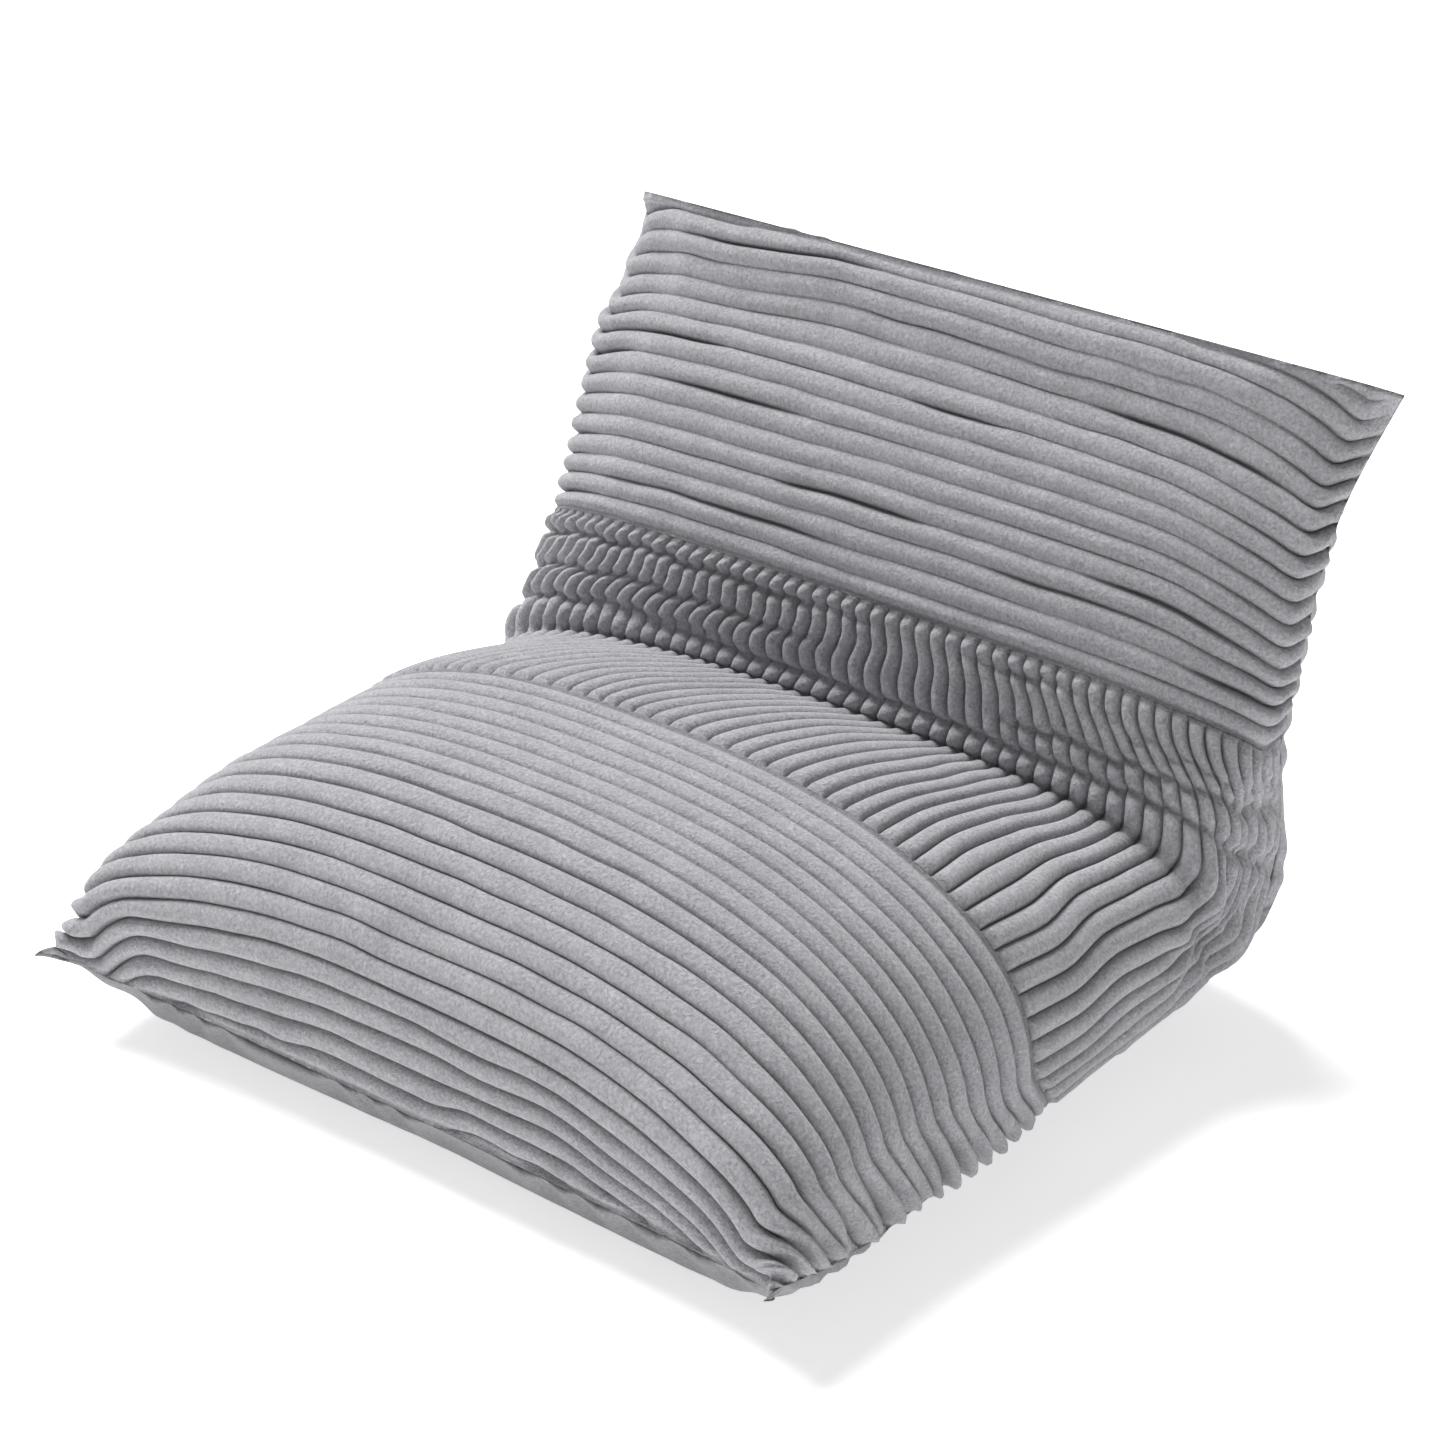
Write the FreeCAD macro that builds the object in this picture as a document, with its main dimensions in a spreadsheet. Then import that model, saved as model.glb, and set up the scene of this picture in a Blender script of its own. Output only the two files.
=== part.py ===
import FreeCAD, Part
import math
import os
import re
import Sketcher

# Bean bag floor lounger: a plump L-shaped bag of shredded foam in a liner, inside a sewn plush
# cover that closes with a zip across the heel of the bag.
# Frame: +Z up, +Y to the back, X across, origin on the floor under the middle of the bag.

Vector = FreeCAD.Vector
doc = FreeCAD.newDocument("bean_bag_chair")

sizes = {
    "bag_width": 880,
    "bag_depth": 885,
    "bag_height": 632,
    "floor_flat": 4,          # how far the floor flattens the belly of the bag
    "cover_thickness": 6,
    "liner_gap": 1,
    "liner_thickness": 1.2,
    "fill_gap": 0.8,
    "zip_height": 110,
    "zip_length": 480,        # length of the coils
    "zip_depth": 6.5,         # from the outside of the cover to the middle of the coils
    "zip_opening": 12,        # slot in the cover
    "zip_margin": 26,         # slot beyond each end of the coils
    "coil_width": 2,
    "coil_thickness": 2.4,
    "coil_split": 1.2,        # gap between the two coils
    "coil_round": 0.5,
    "tape_width": 16,
    "tape_thickness": 0.8,
    "stop_length": 4,
    "stop_height": 2.8,
    "slider_length": 10.5,
    "slider_width": 9,
    "slider_plate": 1.2,
    "slider_web": 0.5,
    "slide_clearance": 0.35,
    "bridge_width": 2.4,
    "bridge_bar": 1.1,
    "bridge_window": 2.2,
    "bridge_length": 8,
    "pull_length": 30,
    "pull_width": 7,
    "pull_thickness": 1.1,
    "pull_eye": 6,            # reach of the window that clears the bridge
    "park_gap": 1,            # between the parked slider and the top stop
}

# Sections along the bag from the front lip, over the seat and up the backrest.
# front and rear are the two faces at mid-width, as shares of bag_depth and bag_height.
# edge is where the widest point lies between rear and front, seam where the side seam lies,
# half is the share of the half width, crown and belly are the roundness of the two faces.
sections = [
    dict(name="lip", front=(0.002, 0.085), rear=(0.012, 0.047),
         edge=0.50, seam=0.50, half=1.000, crown=2.4, belly=2.4),
    dict(name="nose", front=(0.020, 0.237), rear=(0.079, 0.0),
         edge=0.55, seam=0.22, half=0.990, crown=2.4, belly=3.0),
    dict(name="seat", front=(0.219, 0.480), rear=(0.226, 0.0),
         edge=0.28, seam=0.09, half=0.982, crown=2.4, belly=3.4),
    dict(name="seat_seam", front=(0.405, 0.486), rear=(0.497, 0.0),
         edge=0.33, seam=0.09, half=0.985, crown=2.4, belly=3.4),
    dict(name="crease", front=(0.688, 0.366), rear=(0.808, 0.0),
         edge=0.55, seam=0.12, half=0.985, crown=2.6, belly=3.4),
    dict(name="heel", front=(0.692, 0.427), rear=(0.912, 0.174),
         edge=0.60, seam=0.33, half=0.985, crown=2.8, belly=5.0),
    dict(name="back_seam", front=(0.714, 0.532), rear=(0.940, 0.475),
         edge=0.62, seam=0.42, half=0.986, crown=2.8, belly=3.0),
    dict(name="back", front=(0.814, 0.793), rear=(1.002, 0.758),
         edge=0.62, seam=0.45, half=0.995, crown=2.6, belly=2.4),
    dict(name="top", front=(0.887, 0.997), rear=(0.912, 0.957),
         edge=0.50, seam=0.50, half=1.000, crown=2.4, belly=2.4),
]
outline_points = 32
steps_between = 3         # stations from one section to the next
seat_seam = 3
back_seam = 6
clear_past = 200          # cutting blocks run this far out past the heel
clear_below = 100         # and this far below the floor, or in front of the zip

sheet = doc.addObject("Spreadsheet::Sheet", "Sizes")
for row, (alias, value) in enumerate(sizes.items(), start=1):
    sheet.set(f"A{row}", alias)
    sheet.set(f"B{row}", str(value))
    sheet.setAlias(f"B{row}", alias)
doc.recompute()


# Formulas are written in the sheet's own names.
def named(formula):
    return re.sub(r"\b([a-z]+_[a-z]+)\b", r"Sizes.\1", str(formula))


def value_of(formula):
    return float(sheet.evalExpression(str(formula)))


def bind(thing, **formulas):
    for name, formula in formulas.items():
        thing.setExpression(name, named(formula))


def place(thing, x=0, y=0, z=0):
    for axis, formula in (("x", x), ("y", y), ("z", z)):
        thing.setExpression(f"Placement.Base.{axis}", named(formula))


def add(kind, name):
    thing = doc.addObject(kind, name)
    thing.Label = name
    return thing


def boolean(kind, name, base, tool):
    result = add(kind, name)
    result.Base = base
    result.Tool = tool
    return result


def block(name, length, width, height, x, y, z):
    box = add("Part::Box", name)
    bind(box, Length=length, Width=width, Height=height)
    place(box, x, y, z)
    return box


# The bag profile
def face_point(section, face):
    share_y, share_z = section[face]
    y = share_y * value_of("bag_depth")
    if face == "rear" and share_z == 0:
        return Vector(0, y, -value_of("floor_flat"))
    return Vector(0, y, share_z * value_of("bag_height"))


fronts = [face_point(section, "front") for section in sections]
rears = [face_point(section, "rear") for section in sections]

# distance travelled along the bag at each section
travel = [0.0]
for index in range(1, len(sections)):
    front_step = (fronts[index] - fronts[index - 1]).Length
    rear_step = (rears[index] - rears[index - 1]).Length
    travel.append(travel[-1] + (front_step + rear_step) / 2)
stations = []
for index in range(1, len(travel)):
    gap = (travel[index] - travel[index - 1]) / steps_between
    stations += [travel[index - 1] + gap * step for step in range(steps_between)]
stations.append(travel[-1])


def along_bag(points):
    curve = Part.BSplineCurve()
    curve.interpolate(Points=points, Parameters=travel)
    return [curve.value(station) for station in stations]


def traits(first, second):
    pairs = zip(sections, travel)
    return along_bag([Vector(section[first], section[second], way) for section, way in pairs])


def inset_profile(inset):
    front_line = along_bag(fronts)
    loop = front_line + along_bag(rears)[::-1]
    moved = []
    for index, point in enumerate(loop):
        tangent = loop[(index + 1) % len(loop)] - loop[index - 1]
        tangent.normalize()
        moved.append(point + Vector(0, tangent.z, -tangent.y) * inset)
    count = len(front_line)
    return zip(moved[:count], moved[count:][::-1])


def power(value, exponent):
    return math.copysign(abs(value) ** exponent, value)


# One closed outline round the bag
def outline(front, rear, edge_share, half, crown, belly):
    edge = rear + (front - rear) * edge_share
    points = []
    for step in range(outline_points):
        turn = 2 * math.pi * step / outline_points
        on_front = math.cos(turn) >= 0
        face = front if on_front else rear
        roundness = crown if on_front else belly
        across = half * power(math.sin(turn), 2 / roundness)
        out = abs(math.cos(turn)) ** (2 / roundness)
        points.append(edge + (face - edge) * out + Vector(across, 0, 0))
    return points


# A smooth skin drawn over the outlines, with a flat end at the front lip and at the top
def skin_over(outlines):
    rows = len(outlines)
    row_knots = [float(knot) for knot in range(rows - 2)]
    row_repeats = [4] + [1] * (rows - 4) + [4]
    ring_knots = [float(knot) for knot in range(outline_points + 1)]
    ring_repeats = [1] * (outline_points + 1)
    skin = Part.BSplineSurface()
    skin.buildFromPolesMultsKnots(outlines, row_repeats, ring_repeats,
                                  row_knots, ring_knots, False, True, 3, 3)
    ends = [Part.Face(Part.Wire([skin.uIso(knot).toShape()]))
            for knot in (row_knots[0], row_knots[-1])]
    shell = Part.Shell([skin.toShape()] + ends)
    shell.sewShape()
    solid = Part.Solid(shell)
    if solid.Volume < 0:
        solid.reverse()
    return solid


# One skin of the bag, set in from the outside by a thickness and flattened by the floor
def bag_form(name, inset):
    depth = value_of(inset)
    shares = traits("edge", "half")
    roundness = traits("crown", "belly")
    outlines = []
    for (front, rear), share_pair, round_pair in zip(inset_profile(depth), shares, roundness):
        half = share_pair.y * value_of("bag_width") / 2 - depth
        outlines.append(outline(front, rear, share_pair.x, half, round_pair.x, round_pair.y))
    round_form = add("Part::Feature", f"{name}_round")
    round_form.Shape = skin_over(outlines)
    place(round_form, y="-bag_depth / 2")
    floor = block(f"{name}_floor", "bag_width * 2", "bag_depth * 2", clear_below,
                  "-bag_width", "-bag_depth", f"{inset} - {clear_below}")
    return boolean("Part::Cut", name, round_form, floor)


# Cutting prisms, drawn from the side of the bag and run right across it
side_view = FreeCAD.Rotation(Vector(1, 1, 1), 120)


def draw_outline(sketch, corners):
    count = len(corners)
    points = [Vector(value_of(across), value_of(up), 0) for across, up in corners]
    for index in range(count):
        sketch.addGeometry(Part.LineSegment(points[index], points[(index + 1) % count]))
    for index in range(count):
        sketch.addConstraint(Sketcher.Constraint("Coincident", index, 2, (index + 1) % count, 1))
    for index, (across, up) in enumerate(corners):
        for kind, formula in (("DistanceX", across), ("DistanceY", up)):
            rule = Sketcher.Constraint(kind, -1, 1, index, 1, value_of(formula))
            number = sketch.addConstraint(rule)
            sketch.setExpression(f"Constraints[{number}]", named(formula))


def side_prism(name, corners):
    sketch = add("Sketcher::SketchObject", f"{name}_sketch")
    sketch.Placement = FreeCAD.Placement(Vector(), side_view)
    draw_outline(sketch, corners)
    place(sketch, y="-bag_depth / 2")
    prism = add("Part::Extrusion", name)
    prism.Base = sketch
    prism.DirMode = "Custom"
    prism.Dir = Vector(1, 0, 0)
    prism.Symmetric = True
    prism.Solid = True
    bind(prism, LengthFwd="bag_width * 1.4")
    return prism


def share(y, z):
    return (f"bag_depth * {y:.4f}", f"bag_height * {z:.4f}")


def as_share(point):
    return share(point.y / value_of("bag_depth"), point.z / value_of("bag_height"))


# Outer cover: shell, parted at the side seam and across at the two cross seams
cover_form = bag_form("cover_form", "0")
cover_inside = bag_form("cover_inside", "cover_thickness")
doc.recompute()

# The zip lies straight across the heel: find how far back the cover reaches at that height.
level = value_of("zip_height")
probe = Part.makeLine(Vector(0, 0, level), Vector(0, value_of("bag_depth"), level))
heel_reach = max(vertex.Y for vertex in cover_form.Shape.common(probe).Vertexes)
heel_row = len(sizes) + 1
sheet.set(f"A{heel_row}", "heel_reach")
sheet.set(f"B{heel_row}", f"{heel_reach:.1f}")
sheet.setAlias(f"B{heel_row}", "heel_reach")
doc.recompute()
zip_y = "(heel_reach - zip_depth)"


# A block centred on the zip across the bag and up the heel, from depth "low" outwards
def zip_block(name, length, width, height, low):
    return block(name, length, width, height,
                 f"-({length}) / 2", f"{zip_y} + {low}", f"zip_height - ({height}) / 2")


facing_front = "-coil_thickness / 2"
facing = zip_block("zip_facing", "zip_length + zip_margin * 4", clear_past,
                   "(tape_width + coil_split) * 2", facing_front)
cover_cavity = boolean("Part::Cut", "cover_cavity", cover_inside, facing)
cover_shell = boolean("Part::Cut", "cover_shell", cover_form, cover_cavity)

seam_line = []
for section, front, rear in zip(sections, fronts, rears):
    seam_line.append(as_share(rear + (front - rear) * section["seam"]))
front_side = side_prism("front_side", [share(-0.1, 0.07)] + seam_line
                        + [share(0.85, 1.3), share(-0.1, 1.3)])
front_cover = boolean("Part::Common", "front_cover", cover_shell, front_side)
under_cover = boolean("Part::Cut", "under_cover", cover_shell, front_side)


# A cross seam runs straight through the front and rear points of its section.
def seam_ends(index, past_rear, past_front):
    across = fronts[index] - rears[index]
    return as_share(rears[index] - across * past_rear), as_share(rears[index] + across * past_front)


low, high = seam_ends(seat_seam, 0.3, 1.4)
seat_side = side_prism("seat_side", [share(-0.1, -0.3), low, high, share(0.3, 1.0), share(-0.1, 1.0)])
low, high = seam_ends(back_seam, 0.5, 1.5)
back_side = side_prism("back_side", [high, low, share(1.2, 1.3), share(0.5, 1.3)])

seat_panel = boolean("Part::Common", "seat_panel", front_cover, seat_side)
backrest_panel = boolean("Part::Common", "backrest_panel", front_cover, back_side)
band_and_seat = boolean("Part::Cut", "band_and_seat", front_cover, back_side)
lumbar_band = boolean("Part::Cut", "lumbar_band", band_and_seat, seat_side)

# Base and rear panels meet at the zip, in a slot with a pocket behind it for the tapes
slot = zip_block("zip_slot", "zip_length + zip_margin * 2", clear_past, "zip_opening",
                 f"-{clear_below}")
pocket = zip_block("tape_pocket", "zip_length + zip_margin * 2",
                   f"{clear_below} - coil_thickness / 2",
                   "(tape_width + coil_split / 2) * 2", f"-{clear_below}")
zip_space = boolean("Part::Fuse", "zip_space", slot, pocket)
under_open = boolean("Part::Cut", "under_open", under_cover, zip_space)
low_half = block("low_half", "bag_width * 2", "bag_depth * 2", f"zip_height + {clear_below}",
                 "-bag_width", "-bag_depth", f"-{clear_below}")
base_panel = boolean("Part::Common", "base_panel", under_open, low_half)
rear_panel = boolean("Part::Cut", "rear_panel", under_open, low_half)

# Inner liner in two panels, and the foam it holds, drawn in behind the zip
def inner_form(name, inset, grow):
    form = bag_form(f"{name}_full", inset)
    room = zip_block(f"{name}_room", f"zip_length + zip_margin * 6 + {grow} * 2", clear_past,
                     f"tape_width * 3 + {grow} * 2", f"-zip_depth - {grow}")
    return boolean("Part::Cut", name, form, room)


liner_outside = "cover_thickness + liner_gap"
liner_inside = f"{liner_outside} + liner_thickness"
liner_form = inner_form("liner_form", liner_outside, "0")
liner_cavity = inner_form("liner_cavity", liner_inside, "liner_thickness")
liner_front_form = boolean("Part::Common", "liner_front_form", liner_form, front_side)
liner_front = boolean("Part::Cut", "liner_front", liner_front_form, liner_cavity)
liner_rear_form = boolean("Part::Cut", "liner_rear_form", liner_form, front_side)
liner_rear = boolean("Part::Cut", "liner_rear", liner_rear_form, liner_cavity)
foam_fill = inner_form("foam_fill", f"{liner_inside} + fill_gap", "(liner_thickness + fill_gap)")

# Zip: tapes and coils, mirrored about the zip line
for side, sign in (("upper", 1), ("lower", -1)):
    near_edge = f"zip_height + coil_split / 2 * {sign}"
    tape_low = near_edge if sign > 0 else f"{near_edge} - tape_width"
    coil_low = near_edge if sign > 0 else f"{near_edge} - coil_width"
    block(f"zip_tape_{side}", "zip_length + zip_margin * 1.6", "tape_thickness", "tape_width",
          "-zip_length / 2 - zip_margin * 0.8", f"{zip_y} - coil_thickness / 2 - tape_thickness",
          tape_low)
    coil = block(f"zip_coil_bar_{side}", "zip_length", "coil_thickness", "coil_width",
                 "-zip_length / 2", f"{zip_y} - coil_thickness / 2", coil_low)
    rounded = add("Part::Fillet", f"zip_coil_{side}")
    rounded.Base = coil
    doc.recompute()
    long_edges = [number for number, edge in enumerate(coil.Shape.Edges, start=1)
                  if edge.Length > value_of("zip_length") - 1]
    radius = value_of("coil_round")
    rounded.Edges = [(number, radius, radius) for number in long_edges]

# Metal stops bridge the coils' ends, one at each end of the zip.
stop_width = "(coil_split + coil_width * 2)"
for name, x in (("zip_top_stop", "zip_length / 2"),
                ("zip_bottom_stop", "-zip_length / 2 - stop_length")):
    block(name, "stop_length", "stop_height", stop_width, x,
          f"{zip_y} - coil_thickness / 2", f"zip_height - {stop_width} / 2")


# Slider and pull tab, designed about the zip's middle line
def body_plane(body, role):
    return [plane for plane in body.Origin.OriginFeatures if plane.Role == role][0]


def body_sketch(body, name, role, corners):
    sketch = body.newObject("Sketcher::SketchObject", name)
    sketch.AttachmentSupport = [(body_plane(body, role), "")]
    sketch.MapMode = "FlatFace"
    draw_outline(sketch, corners)
    return sketch


def rectangle(left, right, bottom, top):
    return [(left, bottom), (right, bottom), (right, top), (left, top)]


def feature(kind, body, name, sketch, length):
    made = body.newObject(kind, name)
    made.Profile = sketch
    made.SideType = "Symmetric"
    bind(made, Length=length)
    sketch.Visibility = False
    return made


slider = add("PartDesign::Body", "zip_slider")
half_width = "slider_width / 2"
tape_back = "(-coil_thickness / 2 - tape_thickness - slide_clearance)"
coil_front = "(coil_thickness / 2 + slide_clearance)"
tape_front = "(-coil_thickness / 2 + slide_clearance)"
coil_side = "(coil_split / 2 + coil_width + slide_clearance)"
slider_top = f"({coil_front} + slider_plate)"
web = "slider_web / 2"
# an I section with turned-in edges: back plate, thin web between the coils, front plate
slider_corners = [
    (f"{tape_back} - slider_plate", f"-({half_width})"),
    (tape_back, f"-({half_width})"),
    (tape_back, f"-{web}"),
    (coil_front, f"-{web}"),
    (coil_front, f"-{coil_side}"),
    (tape_front, f"-{coil_side}"),
    (tape_front, f"-({half_width})"),
    (slider_top, f"-({half_width})"),
    (slider_top, half_width),
    (tape_front, half_width),
    (tape_front, coil_side),
    (coil_front, coil_side),
    (coil_front, web),
    (tape_back, web),
    (tape_back, half_width),
    (f"{tape_back} - slider_plate", half_width),
]
slider_sketch = body_sketch(slider, "slider_section", "YZ_Plane", slider_corners)
feature("PartDesign::Pad", slider, "slider_pad", slider_sketch, "slider_length")
bridge_top = f"{slider_top} + bridge_window + bridge_bar"
bridge_sketch = body_sketch(slider, "bridge_side", "XY_Plane", rectangle(
    "-bridge_length / 2", "bridge_length / 2", f"{slider_top} - 0.2", bridge_top))
feature("PartDesign::Pad", slider, "bridge_pad", bridge_sketch, "bridge_width")
window_sketch = body_sketch(slider, "bridge_window_side", "XY_Plane", rectangle(
    "-bridge_length / 2 + bridge_bar", "bridge_length / 2 - bridge_bar",
    slider_top, f"{slider_top} + bridge_window"))
feature("PartDesign::Pocket", slider, "bridge_window_cut", window_sketch, "bridge_width * 2")
place(slider, "zip_length / 2 - park_gap - slider_length / 2", zip_y, "zip_height")

# The pull lies flat along the closed coils and turns about its cross bar, under the bridge.
pull = add("PartDesign::Body", "zip_pull_tab")
bar_reach = "pull_thickness / 2"
pull_sketch = body_sketch(pull, "pull_plate", "XZ_Plane", rectangle(
    "-pull_length", 0, "-pull_width / 2", "pull_width / 2"))
feature("PartDesign::Pad", pull, "pull_pad", pull_sketch, "pull_thickness")
bar_sketch = pull.newObject("Sketcher::SketchObject", "cross_bar_end")
bar_sketch.AttachmentSupport = [(body_plane(pull, "XY_Plane"), "")]
bar_sketch.MapMode = "FlatFace"
bar_sketch.addGeometry(Part.Circle(Vector(), Vector(0, 0, 1), value_of(bar_reach)))
bar_sketch.addConstraint(Sketcher.Constraint("Coincident", 0, 3, -1, 1))
bar_sketch.addConstraint(Sketcher.Constraint("Radius", 0, value_of(bar_reach)))
bar_sketch.setExpression("Constraints[1]", named(bar_reach))
feature("PartDesign::Pad", pull, "cross_bar", bar_sketch, "pull_width")
eye_sketch = body_sketch(pull, "pull_eye_outline", "XZ_Plane", rectangle(
    "-pull_eye", f"-({bar_reach})",
    "-bridge_width / 2 - slide_clearance * 2", "bridge_width / 2 + slide_clearance * 2"))
feature("PartDesign::Pocket", pull, "pull_eye_cut", eye_sketch, "pull_thickness * 4")
pivot_y = f"{zip_y} + {slider_top} + bridge_window / 2"
place(pull, "zip_length / 2 - park_gap - slider_length / 2", pivot_y, "zip_height")

doc.recompute()

# Check every object, then write one STEP per node
for thing in doc.Objects:
    if "Invalid" in thing.State or "Error" in thing.State:
        raise RuntimeError(f"{thing.Label}: {thing.State}")
    if hasattr(thing, "Shape") and (thing.Shape.isNull() or not thing.Shape.isValid()):
        raise RuntimeError(f"{thing.Label}: bad shape")

nodes = [
    "seat_panel", "lumbar_band", "backrest_panel", "rear_panel", "base_panel",
    "liner_front", "liner_rear", "foam_fill",
    "zip_tape_upper", "zip_tape_lower", "zip_coil_upper", "zip_coil_lower",
    "zip_top_stop", "zip_bottom_stop", "zip_slider", "zip_pull_tab",
]
os.makedirs("parts", exist_ok=True)
for name in nodes:
    shape = doc.getObject(name).Shape
    if len(shape.Solids) != 1:
        raise RuntimeError(f"{name}: {len(shape.Solids)} solids")
    shape.exportStep(f"parts/{name}.step")
    print(f"{name:16} {shape.Volume / 1000:10.2f} cm3")
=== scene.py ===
import math
import bmesh
import bpy
import numpy as np
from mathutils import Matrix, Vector


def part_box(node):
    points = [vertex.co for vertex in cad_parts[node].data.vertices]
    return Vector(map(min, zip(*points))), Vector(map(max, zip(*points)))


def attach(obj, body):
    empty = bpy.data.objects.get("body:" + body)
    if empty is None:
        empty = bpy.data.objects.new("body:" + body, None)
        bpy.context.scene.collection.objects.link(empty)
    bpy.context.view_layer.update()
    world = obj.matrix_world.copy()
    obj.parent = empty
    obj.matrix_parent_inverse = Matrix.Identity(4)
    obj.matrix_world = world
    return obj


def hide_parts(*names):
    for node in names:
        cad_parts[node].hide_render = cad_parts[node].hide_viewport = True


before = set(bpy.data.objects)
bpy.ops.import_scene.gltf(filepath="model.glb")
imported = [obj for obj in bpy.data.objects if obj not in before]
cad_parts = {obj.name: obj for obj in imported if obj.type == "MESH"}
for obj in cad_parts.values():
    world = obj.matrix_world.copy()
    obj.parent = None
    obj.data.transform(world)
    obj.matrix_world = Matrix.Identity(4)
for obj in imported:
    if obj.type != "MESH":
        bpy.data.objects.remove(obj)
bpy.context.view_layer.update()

# the form of the whole bag, in metres
# y runs back from the front lip; each row of numbers goes lip, nose, seat, seat seam,
# crease, heel, back seam, back, top
bagForm = {
    "front": [(0.034, 0.056), (0.027, 0.149), (0.194, 0.305), (0.358, 0.310), (0.609, 0.231),
              (0.617, 0.270), (0.634, 0.336), (0.720, 0.501), (0.790, 0.617)],
    "edge": [(-0.012, 0.078), (-0.012, 0.100), (0.189, 0.080), (0.366, 0.100), (0.612, 0.155),
             (0.655, 0.210), (0.700, 0.286), (0.777, 0.488), (0.868, 0.581)],
    "rear": [(0.040, 0.047), (0.073, 0.002), (0.200, 0.000), (0.440, 0.000), (0.715, 0.000),
             (0.804, 0.110), (0.830, 0.300), (0.872, 0.478), (0.790, 0.617)],
    "halfWidth": [0.432, 0.438, 0.430, 0.430, 0.430, 0.430, 0.432, 0.437, 0.438],
    "crownPower": [4.0, 3.4, 2.5, 2.4, 2.6, 2.7, 2.5, 2.3, 2.8],
    "bellyPower": [4.0, 3.4, 3.4, 3.4, 3.6, 5.0, 3.0, 2.4, 2.8],
    "seamTurn": [90, 91, 106, 119, 116, 108, 98, 93, 90],   # degrees round from the crown
    "depth": 0.885,
    "topBlunt": (0.110, 0.38),     # reach below the top seam, and how quickly the top fills out
    "rows": 76,
    "columns": 65,
    "arcPoints": 160,
    "tuckPoints": 60,
}
seatSeamKnot, creaseKnot, heelKnot, backSeamKnot = 3, 4, 5, 6


def slopesThrough(x, y):
    # slopes of a curve that doesn't overshoot its points
    h = np.diff(x)
    d = np.diff(y) / h
    m = np.zeros_like(y)
    same = d[:-1] * d[1:] > 0
    w1, w2 = 2 * h[1:] + h[:-1], h[1:] + 2 * h[:-1]
    with np.errstate(divide="ignore", invalid="ignore"):
        m[1:-1] = np.where(same, (w1 + w2) / (w1 / d[:-1] + w2 / d[1:]), 0)
    m[0], m[-1] = d[0], d[-1]
    return m


def curveThrough(x, y, at):
    x, y, at = np.asarray(x, float), np.asarray(y, float), np.asarray(at, float)
    m = slopesThrough(x, y)
    i = np.clip(np.searchsorted(x, at) - 1, 0, len(x) - 2)
    h = x[i + 1] - x[i]
    t = (at - x[i]) / h
    return ((2 * t**3 - 3 * t**2 + 1) * y[i] + (t**3 - 2 * t**2 + t) * h * m[i]
            + (3 * t**2 - 2 * t**3) * y[i + 1] + (t**3 - t**2) * h * m[i + 1])


def cumulative(points):
    steps = np.linalg.norm(np.diff(points, axis=0), axis=-1)
    return np.concatenate([[0], np.cumsum(steps)])


front = np.array(bagForm["front"])
edge = np.array(bagForm["edge"])
rear = np.array(bagForm["rear"])
knotWay = cumulative(front) * 0.5 + cumulative(rear) * 0.5
rowWay = np.linspace(0, knotWay[-1], bagForm["rows"])


def acrossRows(values):
    return curveThrough(knotWay, values, rowWay)


def sectionHalf(turns, faceY, faceZ, edgeY, edgeZ, half, power):
    # one quarter-turn family of points of a rounded section
    s, c = np.abs(np.sin(turns)), np.abs(np.cos(turns))
    out = c ** (2 / power)
    return np.stack([np.sign(np.sin(turns)) * half * s ** (2 / power),
                     edgeY + (faceY - edgeY) * out, edgeZ + (faceZ - edgeZ) * out], -1)


def evenly(points, count):
    way = cumulative(points)
    at = np.linspace(0, way[-1], count)
    return np.stack([np.interp(at, way, points[:, k]) for k in range(3)], -1)


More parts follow.
